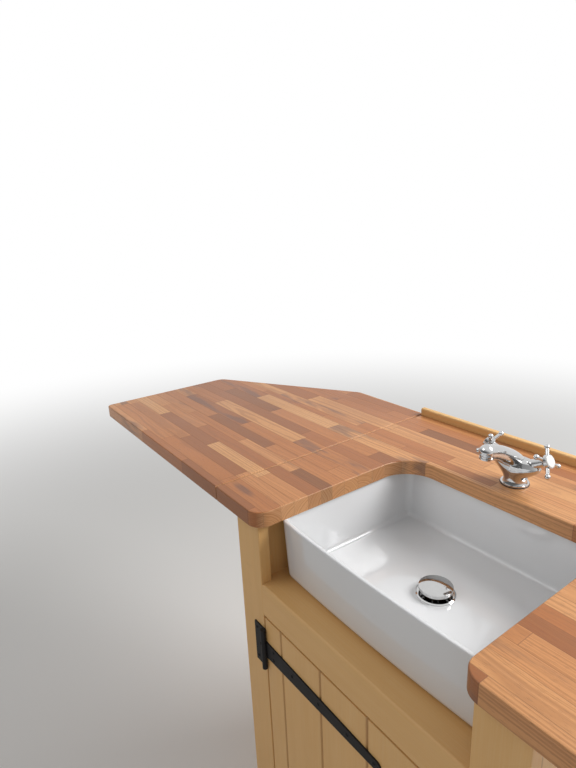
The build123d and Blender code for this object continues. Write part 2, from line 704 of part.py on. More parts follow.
PIECES = {
    "worktop": worktop(),
    "back_batten": back_batten(),
    "flap": flap(),
    "flap_fixed_leaves": flap_leaves(1),
    "flap_moving_leaves": flap_leaves(-1),
    "sink": sink(),
    "waste_body": waste_body(),
    "waste_nut": waste_nut(),
    "waste_cap": waste_cap(),
    "tap_body": tap_body(),
    "tap_shank_nut": tap_shank_nut(),
    "left_tap_handle": tap_handle(-1),
    "right_tap_handle": tap_handle(1),
    "left_tap_index": tap_index(-1),
    "right_tap_index": tap_index(1),
    "left_stile": stile(CABINET_LEFT),
    "right_stile": stile(OPENING_RIGHT),
    "sink_ledge_rail": sink_ledge_rail(),
    "bottom_rail": bottom_rail(),
    "left_side_panel": side_panel(-1),
    "right_side_panel": side_panel(1),
    "left_sink_lining": sink_lining(-1),
    "right_sink_lining": sink_lining(1),
    "left_sink_bearer": sink_bearer(-1),
    "right_sink_bearer": sink_bearer(1),
    "upper_back_rail": back_rail(TOP_UNDER),
    "lower_back_rail": back_rail(BOTTOM_RAIL_HEIGHT + BACK_RAIL_HEIGHT),
    "cupboard_floor": cupboard_floor(),
    "door_boards": door_boards(),
    "upper_door_ledge": door_ledge(UPPER_HINGE_Z),
    "lower_door_ledge": door_ledge(LOWER_HINGE_Z),
    "door_brace": door_brace(),
    "upper_hinge_plate": hinge_plate(UPPER_HINGE_Z),
    "lower_hinge_plate": hinge_plate(LOWER_HINGE_Z),
    "upper_hinge_strap": hinge_strap(UPPER_HINGE_Z),
    "lower_hinge_strap": hinge_strap(LOWER_HINGE_Z),
    "door_handle": door_handle(),
    "catch_body": catch_body(),
    "catch_plate": catch_plate(),
}

for name, piece in PIECES.items():
    export_step(ORIGIN * piece, f"parts/{name}.step")
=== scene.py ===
import math

import bmesh
import bpy
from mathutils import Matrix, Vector


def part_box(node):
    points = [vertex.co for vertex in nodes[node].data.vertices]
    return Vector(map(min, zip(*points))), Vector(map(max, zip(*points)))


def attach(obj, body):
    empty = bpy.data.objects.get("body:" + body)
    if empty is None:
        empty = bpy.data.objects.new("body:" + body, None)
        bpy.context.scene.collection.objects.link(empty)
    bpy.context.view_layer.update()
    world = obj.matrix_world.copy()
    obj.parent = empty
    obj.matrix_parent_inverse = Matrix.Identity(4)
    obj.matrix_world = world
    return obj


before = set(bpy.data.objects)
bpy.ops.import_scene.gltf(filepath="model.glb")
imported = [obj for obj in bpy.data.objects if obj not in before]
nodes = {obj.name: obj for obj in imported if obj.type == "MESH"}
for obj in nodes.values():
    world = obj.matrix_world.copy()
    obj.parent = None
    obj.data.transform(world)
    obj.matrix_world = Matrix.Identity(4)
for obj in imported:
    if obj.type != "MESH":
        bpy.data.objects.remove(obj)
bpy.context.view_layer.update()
scene = bpy.context.scene


# Where the unit is seen from: beside its right-hand end at standing height, looking down across the sink
# to the far end of the flap.
CAMERA_PLACE = (0.8297, -0.7246, 1.3650)
CAMERA_TURN = (72.66, 2.48, 54.14)
CAMERA_LENS = 25.98


def put(name, data):
    """Make an object and add it to the scene."""
    one = bpy.data.objects.new(name, data)
    scene.collection.objects.link(one)
    return one


camera = put("camera", bpy.data.cameras.new("camera"))
camera.location = CAMERA_PLACE
camera.rotation_euler = [math.radians(angle) for angle in CAMERA_TURN]
camera.data.sensor_width = 36.0
camera.data.lens = CAMERA_LENS
scene.camera = camera


# The studio: even pale light from all round, one large soft lamp high behind the worktop, a weaker one
# in front, and a pale floor that fades to white far from the unit.
WHITE = (1.0, 1.0, 1.0)
AMBIENT = 0.37
MIRRORED_SHADE = 0.85
FLOOR_PAINT = (0.80, 0.79, 0.77)
FLOOR_RADIUS = 14.0
FLOOR_SIDES = 64
FLOOR_LEVEL = -0.0005
FADE_STARTS, FADE_ENDS = 1.3, 4.5


class Wire:
    """A value, colour or direction in a node tree. Arithmetic on it adds Math nodes."""

    def __init__(self, tree, node=None, socket=None):
        self.tree, self.node, self.socket = tree, node, socket

    def add(self, kind, settings=None, *values, **sockets):
        """Add one node: its settings first, then its sockets in order or by name without spaces."""
        node = self.tree.nodes.new(kind)
        for name, value in (settings or {}).items():
            if name == "stops":
                stops = node.color_ramp.elements
                while len(stops) < len(value):
                    stops.new(0.5)
                for stop, (position, colour) in zip(stops, value):
                    stop.position = position
                    stop.color = (*colour, 1.0)
            else:
                setattr(node, name, value)
        shown = [socket for socket in node.inputs if socket.enabled]
        named = {socket.name.replace(" ", ""): socket for socket in reversed(shown)}
        for place, value in [*zip(shown, values), *((named[name], sockets[name]) for name in sockets)]:
            if isinstance(value, Wire):
                value = [value]
            if isinstance(value, list):
                for one in value:
                    self.tree.links.new(one.socket, place)
            elif isinstance(value, tuple) and len(value) == 3 and place.type == "RGBA":
                place.default_value = (*value, 1.0)
            else:
                place.default_value = value
        result = next((socket for socket in node.outputs if socket.enabled), None)
        return Wire(self.tree, node, result)

    def __getitem__(self, name):
        return Wire(self.tree, self.node, self.node.outputs[name])

    def maths(self, operation, *values):
        return self.add("ShaderNodeMath", {"operation": operation}, *values)

    def __add__(self, other):
        return self.maths("ADD", self, other)

    def __sub__(self, other):
        return self.maths("SUBTRACT", self, other)

    def __rsub__(self, other):
        return self.maths("SUBTRACT", other, self)

    def __mul__(self, other):
        return self.maths("MULTIPLY", self, other)

    def __truediv__(self, other):
        return self.maths("DIVIDE", self, other)

    def __pow__(self, other):
        return self.maths("POWER", self, other)

    def __mod__(self, other):
        return self.maths("FLOORED_MODULO", self, other)

    def __abs__(self):
        return self.maths("ABSOLUTE", self)

    __radd__ = __add__
    __rmul__ = __mul__


def new_finish(name):
    """An empty material, a wire to build its nodes from, and the place on the piece."""
    material = bpy.data.materials.new(name)
    material.use_nodes = True
    material.node_tree.nodes.clear()
    wire = Wire(material.node_tree)
    return material, wire, wire.add("ShaderNodeTexCoord")["Object"]


def split(place):
    """The three parts of a place or direction."""
    axes = place.add("ShaderNodeSeparateXYZ", {}, place)
    return axes["X"], axes["Y"], axes["Z"]


def step(value, low, high):
    """0 below low, 1 above high, and smooth between them."""
    return value.add(
        "ShaderNodeMapRange", {"interpolation_type": "SMOOTHSTEP"}, Value=value, FromMin=low, FromMax=high
    )


def blend(share, first, second):
    """A colour that goes from first to second as share goes from 0 to 1."""
    return share.add("ShaderNodeMix", {"data_type": "RGBA"}, Factor=share, A=first, B=second)


def seen_rays(wire):
    """1 for what the camera sees, directly or in metal or glass, and 0 for light that falls on things."""
    path = wire.add("ShaderNodeLightPath")
    seen = path["Is Camera Ray"] + path["Is Glossy Ray"] + path["Is Transmission Ray"]
    return seen.maths("MINIMUM", seen, 1.0)


world = bpy.data.worlds.new("studio")
world.use_nodes = True
world.node_tree.nodes.clear()
wire = Wire(world.node_tree)
ambient = wire.add("ShaderNodeBackground", {}, Color=WHITE, Strength=AMBIENT)
_, sky_y, sky_z = split(wire.add("ShaderNodeTexCoord")["Generated"])
lit_side = step(sky_z * 0.8 + sky_y * 0.6, -0.35, 0.45)
mirrored = wire.add("ShaderNodeLightPath")["Is Glossy Ray"]
shown_light = 1.0 - mirrored * (1.0 - lit_side) * MIRRORED_SHADE
backdrop = wire.add("ShaderNodeBackground", {}, Color=WHITE, Strength=shown_light)
surround = wire.add("ShaderNodeMixShader", {}, seen_rays(wire), ambient, backdrop)
wire.add("ShaderNodeOutputWorld", {}, Surface=surround)
scene.world = world
scene.view_settings.view_transform = "Standard"


def lamp(name, place, target, size, watts):
    """A soft rectangular lamp turned towards its target."""
    data = bpy.data.lights.new(name, "AREA")
    data.shape = "RECTANGLE"
    data.size, data.size_y = size
    data.energy = watts
    one = put(name, data)
    one.location = place
    one.rotation_euler = (Vector(target) - Vector(place)).to_track_quat("-Z", "Y").to_euler()


lamp("high_lamp", place=(1.25, 1.45, 2.25), target=(0.15, 0.0, 0.8), size=(1.3, 1.1), watts=58.0)
lamp("front_lamp", place=(-0.9, -1.5, 2.6), target=(0.05, -0.2, 0.7), size=(1.5, 1.2), watts=9.0)

floor_data = bpy.data.meshes.new("floor")
turns = [math.tau * i / FLOOR_SIDES for i in range(FLOOR_SIDES)]
rim = [(FLOOR_RADIUS * math.cos(turn), FLOOR_RADIUS * math.sin(turn), FLOOR_LEVEL) for turn in turns]
floor_data.from_pydata(rim, [], [list(range(FLOOR_SIDES))])
floor = put("floor", floor_data)
pale, wire, spot = new_finish("pale floor")
away = wire.add("ShaderNodeVectorMath", {"operation": "LENGTH"}, spot)["Value"]
painted = wire.add("ShaderNodeBsdfPrincipled", {}, BaseColor=FLOOR_PAINT, Roughness=0.7)
white = wire.add("ShaderNodeEmission", {}, Color=WHITE, Strength=1.0)
faded = step(away, FADE_STARTS, FADE_ENDS) * seen_rays(wire)
wire.add(
    "ShaderNodeOutputMaterial", {}, Surface=wire.add("ShaderNodeMixShader", {}, faded, painted, white)
)
floor_data.materials.append(pale)


# The worktop and its flap: hardwood staves glued side by side and end to end, sanded, oiled and worn to
# a satin. The grain runs along the unit, the sawn ends show their end grain painted paler than the top as
# painted light falling on them, and one stave has a knot.
STAVE_WIDTH, STAVE_LENGTH = 0.034, 0.27
WIDTH_UNEVEN, LENGTH_UNEVEN = 0.75, 0.8
BOARD_MIDDLE = 0.845
RINGS_PER_METRE = 380.0
RING_WANDER = 0.016
HEART_SPREAD, HEART_BELOW, HEART_DEEPER = 0.12, 0.02, 0.05
TONE_SHIFT = 0.4
SEAM_CORE, SEAM_EDGE = 0.0002, 0.0009
GRAIN_DEPTH = 0.0006
KNOT_X, KNOT_Y = -0.010, -0.2520
KNOT_LENGTH, KNOT_WIDTH = 0.044, 0.011
STAVE_TONES = [
    (0.00, (0.705, 0.365, 0.155)),
    (0.26, (0.600, 0.262, 0.100)),
    (0.50, (0.475, 0.172, 0.055)),
    (0.70, (0.380, 0.119, 0.035)),
    (0.88, (0.240, 0.070, 0.022)),
    (1.00, (0.130, 0.038, 0.015)),
]
SOAKED_WOOD = (0.270, 0.082, 0.026)
LATE_WOOD = (0.240, 0.075, 0.024)
PALE_FIBRE = (0.680, 0.335, 0.115)
SMOKY_WOOD = (0.150, 0.078, 0.058)
KNOT_WOOD = (0.120, 0.062, 0.050)
PORE = (0.130, 0.055, 0.028)
GLUE_LINE = (0.140, 0.055, 0.025)
# The end grain is painted paler than the staves' top: painted light, where light falls on the sawn ends.
END_GRAIN_PAINTED_LIGHT = (0.620, 0.370, 0.180)


def cells(along, randomness):
    """Strips of uneven width along one axis: three random numbers, local place and distance to the edge."""
    strips = {"voronoi_dimensions": "1D"}
    edges = {**strips, "feature": "DISTANCE_TO_EDGE"}
    strip = along.add("ShaderNodeTexVoronoi", strips, W=along, Scale=1.0, Randomness=randomness)
    edge = along.add("ShaderNodeTexVoronoi", edges, W=along, Scale=1.0, Randomness=randomness)
    chance = along.add("ShaderNodeSeparateColor", {}, strip["Color"])
    return (chance["Red"], chance["Green"], chance["Blue"]), along - strip["W"], edge["Distance"]


def streaks(x, y, z, scales, detail=2.0, roughness=0.5):
    """Noise stretched by a different amount along each axis. The scales are per metre."""
    stretched = x.add("ShaderNodeCombineXYZ", {}, x * scales[0], y * scales[1], z * scales[2])
    noise = x.add("ShaderNodeTexNoise", {}, Vector=stretched, Scale=1.0, Detail=detail, Roughness=roughness)
    return noise["Fac"]


def relief(strength, depth, height):
    """A fine relief of a surface, depth metres from its low to its high places."""
    return height.add("ShaderNodeBump", {}, Strength=strength, Distance=depth, Height=height)


def shade(wire, **sockets):
    """End a finish in its shader, with these values and links."""
    shader = wire.add("ShaderNodeBsdfPrincipled", {}, **sockets)
    wire.add("ShaderNodeOutputMaterial", {}, Surface=shader)


def dress(material, *names):
    """Give CAD nodes their finish."""
    for name in names:
        slots = nodes[name].data.materials
        slots.clear()
        slots.append(material)


stave_wood, wire, spot = new_finish("oiled hardwood staves")
x, y, z = split(spot)

# Rows of staves, each row with its own joints. A stave draws its tone, where its tree's heart lay, and how
# smoky it is, and the row's draw is mixed in so that no two rows are alike.
row_chance, row_y, row_edge = cells(y / STAVE_WIDTH, WIDTH_UNEVEN)
end_chance, _, end_edge = cells(x / STAVE_LENGTH + row_chance[0] * 40.0, LENGTH_UNEVEN)
tone = (end_chance[0] + row_chance[1] * 7.3 + TONE_SHIFT) % 1.0
turn = (end_chance[1] + row_chance[2] * 5.7) % 1.0
smoke = (end_chance[2] + row_chance[0] * 3.1) % 1.0
nearest_joint = wire.maths("MINIMUM", row_edge * STAVE_WIDTH, end_edge * STAVE_LENGTH)
seam = 1.0 - step(nearest_joint, SEAM_CORE, SEAM_EDGE)

# Growth rings around that heart, and the fibres, pores and stains along the grain.
wander = streaks(x + turn * 9.0, y, z, (2.6, 16.0, 16.0), 3.0)
heart_y = row_y * STAVE_WIDTH + (turn - 0.5) * HEART_SPREAD
heart_z = z - BOARD_MIDDLE + HEART_BELOW + smoke * HEART_DEEPER
ring = (heart_y * heart_y + heart_z * heart_z) ** 0.5 + wander * RING_WANDER
growth = wire.add(
    "ShaderNodeTexNoise", {"noise_dimensions": "1D"},
    W=ring * RINGS_PER_METRE + tone * 60.0, Scale=1.0, Detail=2.5,
)["Fac"]
fibre = streaks(x, y, z, (14.0, 620.0, 620.0), 3.0, 0.65)
pores = step(streaks(x, y, z, (70.0, 1300.0, 1300.0), 1.0), 0.60, 0.72)
cloud = streaks(x + turn * 5.0, y, z, (7.0, 34.0, 34.0), 3.0)
soaked = step(streaks(x, y, z, (2.4, 5.0, 5.0), 2.0), 0.42, 0.66)
late = step(growth, 0.40, 0.66)
smoky = step(cloud, 0.50, 0.68) * step(smoke, 0.62, 0.70)

# The knot, and the ends where the saw has cut across the grain, painted paler as painted light on those
# faces.
swirl_x = (x - KNOT_X) / KNOT_LENGTH + (wander - 0.5) * 1.6
swirl_y = (y - KNOT_Y) / KNOT_WIDTH + (cloud - 0.5) * 2.2
swirl = (swirl_x * swirl_x + swirl_y * swirl_y) ** 0.5
knot = (1.0 - step(swirl, 0.35, 1.05)) * (0.45 + growth * 0.6)
facing_x, _, _ = split(wire.add("ShaderNodeTexCoord")["Normal"])
sawn_and_painted_light = step(abs(facing_x), 0.55, 0.9)

coloured = wire.add("ShaderNodeValToRGB", {"stops": STAVE_TONES}, tone)["Color"]
for share, colour in (
    (soaked * 0.30, SOAKED_WOOD),
    (late * 0.44, LATE_WOOD),
    (fibre * 0.30, PALE_FIBRE),
    (smoky * 0.62, SMOKY_WOOD),
    (knot * 0.80, KNOT_WOOD),
    (pores * 0.45, PORE),
    (seam * 0.42, GLUE_LINE),
    (sawn_and_painted_light * (0.48 - late * 0.30), END_GRAIN_PAINTED_LIGHT),
):
    coloured = blend(share, coloured, colour)
polish = streaks(x, y, z, (5.0, 7.0, 7.0), 2.0)
shade(
    wire,
    BaseColor=coloured,
    Roughness=0.30 + polish * 0.14 + fibre * 0.10 + seam * 0.15,
    SpecularIORLevel=0.38,
    CoatWeight=0.12,
    CoatRoughness=0.22,
    Normal=relief(0.28, GRAIN_DEPTH, fibre * 0.35 + growth * 0.25 - pores * 0.5 - seam * 0.8),
)
dress(stave_wood, "worktop", "flap")


# The painted timber: softwood frame, boards and batten, brushed with a satin cream paint along each
# length of wood. The brush leaves fine ridges, and the grooves between the boards are darkened with painted
# shade.
CREAM = (0.765, 0.455, 0.175)
WORN_CREAM = (0.670, 0.370, 0.125)
PALE_CREAM = (0.800, 0.590, 0.340)
# Painted shade in the grooves between the boards, and the colour of the random scuffs.
SHADE_AND_SCUFF_CREAM = (0.400, 0.205, 0.070)
BRUSH_DEPTH = 0.0005
STROKES_ALONG, STROKES_ACROSS = 9.0, 430.0
BANDS_ALONG, BANDS_ACROSS = 3.0, 36.0
BOARD_PITCH = 0.113
FIRST_GROOVE = 0.050
GROOVE_CORE, GROOVE_EDGE = 0.0014, 0.0042


def cream_paint(name, brushed, grooves=None):
    """Paint brushed along one axis. grooves is the axis, start and pitch of any grooves in the boards."""
    material, wire, spot = new_finish(name)
    x, y, z = split(spot)
    fine = [STROKES_ALONG if axis == brushed else STROKES_ACROSS for axis in "XYZ"]
    broad = [BANDS_ALONG if axis == brushed else BANDS_ACROSS for axis in "XYZ"]
    strokes = streaks(x, y, z, fine, 3.0, 0.6)
    bands = streaks(x, y, z, broad, 2.0)
    patch = streaks(x, y, z, (6.0, 6.0, 6.0), 3.0)
    colour = blend(step(bands, 0.36, 0.64) * 0.22 + patch * 0.30, CREAM, WORN_CREAM)
    colour = blend(step(strokes, 0.40, 0.66) * 0.12, colour, PALE_CREAM)
    if grooves:
        axis, start, pitch = grooves
        across = {"X": x, "Y": y}[axis]
        off = abs((across - start + pitch / 2) % pitch - pitch / 2)
        # Painted shade darkens the paint in and beside each groove.
        colour = blend((1.0 - step(off, GROOVE_CORE, GROOVE_EDGE)) * 0.62, colour, SHADE_AND_SCUFF_CREAM)
    scuffs = step(streaks(x, y, z, (34.0, 34.0, 34.0), 4.0, 0.7), 0.66, 0.76)
    shade(
        wire,
        BaseColor=blend(scuffs * 0.12, colour, SHADE_AND_SCUFF_CREAM),
        Roughness=0.36 + patch * 0.16 + strokes * 0.08,
        Normal=relief(0.45, BRUSH_DEPTH, strokes + bands * 0.6),
    )
    return material


upright_paint = cream_paint("cream paint brushed upright", "Z")
level_paint = cream_paint("cream paint brushed along", "X")
deep_paint = cream_paint("cream paint brushed front to back", "Y")
door_low, door_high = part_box("door_boards")
door_paint = cream_paint("cream paint on the door", "Z", ("X", door_low.x + FIRST_GROOVE, BOARD_PITCH))
panel_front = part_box("left_side_panel")[0].y
side_paint = cream_paint("cream paint on the sides", "Z", ("Y", panel_front + BOARD_PITCH, BOARD_PITCH))
dress(upright_paint, "left_stile", "right_stile", "left_sink_lining", "right_sink_lining")
dress(level_paint, "sink_ledge_rail", "bottom_rail", "back_batten", "upper_back_rail", "lower_back_rail")
dress(level_paint, "upper_door_ledge", "lower_door_ledge", "door_brace", "cupboard_floor")
dress(deep_paint, "left_sink_bearer", "right_sink_bearer")
dress(door_paint, "door_boards")
dress(side_paint, "left_side_panel", "right_side_panel")


# The door stops: thin painted battens pinned inside the opening, behind the door's edges, which close the
# gap around it. The top one is cut in two to clear the catch.
STOP_THICK = 0.012
STOP_WIDTH = 0.018
STOP_ARRIS = 0.0012
STOP_SPACE = 0.0008
CATCH_SPACE = 0.001


def fix(piece, body):
    """Name the body that a finished piece moves with."""
    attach(piece, body)


def batten(name, low, high, finish, body):
    """A straight length of wood with its edges eased."""
    size = [high[i] - low[i] for i in range(3)]
    mesh = bpy.data.meshes.new(name)
    shape = bmesh.new()
    bmesh.ops.create_cube(shape, size=1.0)
    for corner in shape.verts:
        corner.co = [low[i] + size[i] * (corner.co[i] + 0.5) for i in range(3)]
    bmesh.ops.bevel(
        shape, geom=shape.edges[:], offset=STOP_ARRIS, segments=2, affect="EDGES", profile=0.5
    )
    bmesh.ops.recalc_face_normals(shape, faces=shape.faces[:])
    shape.to_mesh(mesh)
    shape.free()
    mesh.materials.append(finish)
    for face in mesh.polygons:
        face.use_smooth = True
    fix(put(name, mesh), body)


catch_low, catch_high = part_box("catch_body")
opening_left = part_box("left_stile")[1].x
opening_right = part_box("right_stile")[0].x
opening_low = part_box("bottom_rail")[1].z
opening_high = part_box("sink_ledge_rail")[0].z
inner_left, inner_right = opening_left + STOP_WIDTH, opening_right - STOP_WIDTH
under = opening_high - STOP_WIDTH
stop_front = door_high.y + STOP_SPACE
stop_back = stop_front + STOP_THICK
for name, left, right, low, finish in (
    ("left_door_stop", opening_left, inner_left, opening_low, upright_paint),
    ("right_door_stop", inner_right, opening_right, opening_low, upright_paint),
    ("top_door_stop", inner_left, catch_low.x - CATCH_SPACE, under, level_paint),
    ("short_door_stop", catch_high.x + CATCH_SPACE, inner_right, under, level_paint),
):
    batten(
        name, (left, stop_front, low), (right, stop_back, opening_high), finish, "cabinet"
    )


# The sink: one piece of fired clay under a thick glossy white glaze, which runs a little thin
# and uneven over the corners.
COOL_GLAZE = (0.775, 0.785, 0.800)
WARM_GLAZE = (0.750, 0.752, 0.752)
RIPPLE_DEPTH = 0.002

glaze, wire, spot = new_finish("white glaze")
x, y, z = split(spot)
ripple = streaks(x, y, z, (38.0, 38.0, 38.0), 2.0)
drift = streaks(x, y, z, (7.0, 7.0, 7.0), 2.0)
shade(
    wire,
    BaseColor=blend(drift, COOL_GLAZE, WARM_GLAZE),
    Roughness=0.07 + drift * 0.06,
    CoatWeight=0.6,
    CoatRoughness=0.03,
    Normal=relief(0.05, RIPPLE_DEPTH, ripple),
)
dress(glaze, "sink")


# The sealant between the sink's rim and the underside of the worktop: one white bead, smoothed with
# a wet finger, along both sides and the back.
BEAD_RADIUS = 0.0022
BEAD_SIDES = 12
BEAD_SUNK = 0.7
BEAD_START = 0.012
SINK_WALL = 0.007
INNER_CORNER = 0.018
CORNER_STEPS = 8
SHARP_ANGLE = 38.0


def new_tree(name, **inputs):
    """A geometry tree with one geometry going in and out, and named inputs by socket type."""
    tree = bpy.data.node_groups.new(name, "GeometryNodeTree")
    tree.interface.new_socket("Geometry", in_out="INPUT", socket_type="NodeSocketGeometry")
    for title, kind in inputs.items():
        tree.interface.new_socket(title, in_out="INPUT", socket_type="NodeSocket" + kind)
    tree.interface.new_socket("Geometry", in_out="OUTPUT", socket_type="NodeSocketGeometry")
    wire = Wire(tree)
    return tree, wire, wire.add("NodeGroupInput")


def end_tree(shape, finish):
    """Turn instances into real mesh, give it its material and hand it out."""
    real = shape.add("GeometryNodeRealizeInstances", {}, Geometry=shape)
    dressed = shape.add("GeometryNodeSetMaterial", {}, Geometry=real, Material=finish)
    shape.add("NodeGroupOutput", {}, Geometry=dressed)


def line_tree(name, sides):
    """A tree that lays a round bead or wire along lines of edges."""
    tree, wire, given = new_tree(name, Radius="Float", Finish="Material")
    line = wire.add("GeometryNodeMeshToCurve", {}, Mesh=given["Geometry"])
    section = wire.add("GeometryNodeCurvePrimitiveCircle", {}, Resolution=sides, Radius=given["Radius"])
    swept = wire.add("GeometryNodeCurveToMesh", {}, Curve=line, ProfileCurve=section, FillCaps=True)
    end_tree(swept, given["Finish"])
    return tree


def soften(mesh):
    """Smooth shading everywhere but across real corners."""
    for face in mesh.polygons:
        face.use_smooth = True
    mesh.set_sharp_from_angle(angle=math.radians(SHARP_ANGLE))


def grow(name, points, edges, tree, body, slot, **values):
    """Run a tree on points and edges, keep the result as a plain mesh, and ride it on its body."""
    start = bpy.data.meshes.new(name)
    start.from_pydata(points, edges, [])
    piece = put(name, start)
    modifier = piece.modifiers.new(tree.name, "NODES")
    modifier.node_group = tree
    for item in tree.interface.items_tree:
        if item.in_out == "INPUT" and item.name in values:
            modifier[item.identifier] = values[item.name]
    evaluated = piece.evaluated_get(bpy.context.evaluated_depsgraph_get())
    shaped = bpy.data.meshes.new_from_object(evaluated)
    piece.modifiers.clear()
    piece.data = shaped
    soften(shaped)
    fix(piece, body)


def mottle(spot, scale, detail, roughness=0.5):
    """Even noise over a piece. The scale is per metre."""
    noise = spot.add("ShaderNodeTexNoise", {}, Vector=spot, Scale=scale, Detail=detail, Roughness=roughness)
    return noise["Fac"]


silicone, wire, spot = new_finish("white sealant")
smoothed = mottle(spot, 240.0, 2.0)
shade(
    wire,
    BaseColor=blend(smoothed, (0.80, 0.79, 0.76), (0.70, 0.68, 0.63)),
    Roughness=0.30 + smoothed * 0.2,
)

sink_low, sink_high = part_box("sink")
bead_left, bead_right = sink_low.x + SINK_WALL, sink_high.x - SINK_WALL
bead_back = sink_high.y - SINK_WALL
bead_front = sink_low.y + BEAD_START
bead_z = sink_high.z - BEAD_RADIUS * BEAD_SUNK
bead_line = [(bead_left, bead_front, bead_z)]
for centre_x, first in ((bead_left + INNER_CORNER, math.pi), (bead_right - INNER_CORNER, math.pi / 2)):
    for i in range(CORNER_STEPS + 1):
        angle = first - math.pi / 2 * i / CORNER_STEPS
        bead_line.append((
            centre_x + INNER_CORNER * math.cos(angle),
            bead_back - INNER_CORNER + INNER_CORNER * math.sin(angle),
            bead_z,
        ))
bead_line.append((bead_right, bead_front, bead_z))
bead_edges = [(i, i + 1) for i in range(len(bead_line) - 1)]
grow(
    "sink_sealant", bead_line, bead_edges, line_tree("bead along a line", BEAD_SIDES),
    "cabinet", "white_plastic", Radius=BEAD_RADIUS, Finish=silicone,
)


# The discs in the hubs of the tap's handles: small domes of glazed white china with nothing on them,
# pressed into the metal.
china, wire, spot = new_finish("white china")
speck = mottle(spot, 160.0, 2.0)
shade(
    wire,
    BaseColor=blend(speck, (0.88, 0.88, 0.86), (0.84, 0.84, 0.82)),
    Roughness=0.08 + speck * 0.06,
)
dress(china, "left_tap_index", "right_tap_index")


# The tap and the waste: cast and turned brass, polished and chrome plated. The plating is a little
# smeared, and dried drops have left faint spots on it.
chrome, wire, spot = new_finish("polished chrome")
smear = mottle(spot, 60.0, 4.0, 0.6)
marks = wire.add("ShaderNodeTexVoronoi", {}, Vector=spot, Scale=190.0)["Distance"]
spotted = (1.0 - step(marks, 0.10, 0.24)) * step(smear, 0.52, 0.62)
shade(
    wire,
    BaseColor=blend(smear, (0.62, 0.62, 0.62), (0.52, 0.52, 0.52)),
    Metallic=1.0,
    Roughness=0.05 + smear * 0.06 + spotted * 0.12,
)
dress(chrome, "tap_body", "left_tap_handle", "right_tap_handle", "waste_body", "waste_cap")


# The rubber parts: a thin ring that seals the tap's foot to the worktop, and a washer under the waste's
# cap. Both are black moulded rubber.
ROUND_STEPS = 48
TAP_BEHIND_SINK = 0.041
TAP_SEAL_RADIUS = 0.0255
TAP_SEAL_THICK = 0.0009
TAP_SEAL_SIDES = 10
CAP_UNDER = 0.010
WASHER = [(0.0262, -0.0012), (0.0282, -0.0012), (0.0286, -0.0007), (0.0286, 0.0002), (0.0262, 0.0002)]


def turned_ring(name, centre, section, finish, body):
    """A closed section of (radius, height) points turned about an upright line."""
    points, faces = [], []
    for i in range(ROUND_STEPS):
        angle = math.tau * i / ROUND_STEPS
        for radius, height in section:
            points.append((
                centre[0] + radius * math.cos(angle),
                centre[1] + radius * math.sin(angle),
                centre[2] + height,
            ))
        near, far = i * len(section), (i + 1) % ROUND_STEPS * len(section)
        for a in range(len(section)):
            b = (a + 1) % len(section)
            faces.append((near + a, far + a, far + b, near + b))
    mesh = bpy.data.meshes.new(name)
    mesh.from_pydata(points, [], faces)
    mesh.materials.append(finish)
    soften(mesh)
    fix(put(name, mesh), body)


rubber, wire, spot = new_finish("black rubber")
bloom = mottle(spot, 300.0, 3.0)
shade(
    wire,
    BaseColor=blend(bloom, (0.012, 0.012, 0.012), (0.030, 0.029, 0.028)),
    Roughness=0.50 + bloom * 0.2,
)
tap_foot = ((sink_low.x + sink_high.x) / 2, sink_high.y + TAP_BEHIND_SINK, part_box("worktop")[1].z)
tap_seal = []
for i in range(TAP_SEAL_SIDES):
    angle = math.tau * i / TAP_SEAL_SIDES
    tap_seal.append((
        TAP_SEAL_RADIUS + TAP_SEAL_THICK * math.cos(angle),
        TAP_SEAL_THICK + TAP_SEAL_THICK * math.sin(angle),
    ))
turned_ring("tap_foot_seal", tap_foot, tap_seal, rubber, "cabinet")
cap_low, cap_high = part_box("waste_cap")
cap_middle = ((cap_low.x + cap_high.x) / 2, (cap_low.y + cap_high.y) / 2, cap_high.z - CAP_UNDER)
turned_ring("waste_cap_washer", cap_middle, WASHER, rubber, "waste_plug")


# The aerator in the spout's mouth: a turned insert, chrome plated, with a fine gauze of crossed wires
# held across it.
NOZZLE_FORWARD = 0.095
NOZZLE_UP = 0.079
INSERT = [(0.0060, 0.0010), (0.0089, 0.0010), (0.0089, 0.0050), (0.0060, 0.0050)]
GAUZE_RADIUS = 0.0062
GAUZE_UP = 0.0025
GAUZE_PITCH = 0.0012
GAUZE_WIRE = 0.00018
GAUZE_WIRE_SIDES = 5
WIRES_EACH_SIDE = 4

mouth = (tap_foot[0], tap_foot[1] - NOZZLE_FORWARD, tap_foot[2] + NOZZLE_UP)
turned_ring("aerator_ring", mouth, INSERT, chrome, "cabinet")
wire_ends, wires = [], []
for i in range(-WIRES_EACH_SIDE, WIRES_EACH_SIDE + 1):
    across = i * GAUZE_PITCH
    reach = math.sqrt(GAUZE_RADIUS ** 2 - across ** 2)
    for ends in (((across, -reach), (across, reach)), ((-reach, across), (reach, across))):
        wires.append((len(wire_ends), len(wire_ends) + 1))
        wire_ends += [(mouth[0] + u, mouth[1] + v, mouth[2] + GAUZE_UP) for u, v in ends]
grow(
    "aerator_gauze", wire_ends, wires, line_tree("gauze of crossed wires", GAUZE_WIRE_SIDES),
    "cabinet", "chrome_plate", Radius=GAUZE_WIRE, Finish=chrome,
)


# The brass nuts under the sink and worktop and the brass butt hinges of the flap: turned or pressed,
# left unpolished and going dull.
BRIGHT_BRASS = (0.70, 0.52, 0.25)
DULL_BRASS = (0.50, 0.34, 0.15)

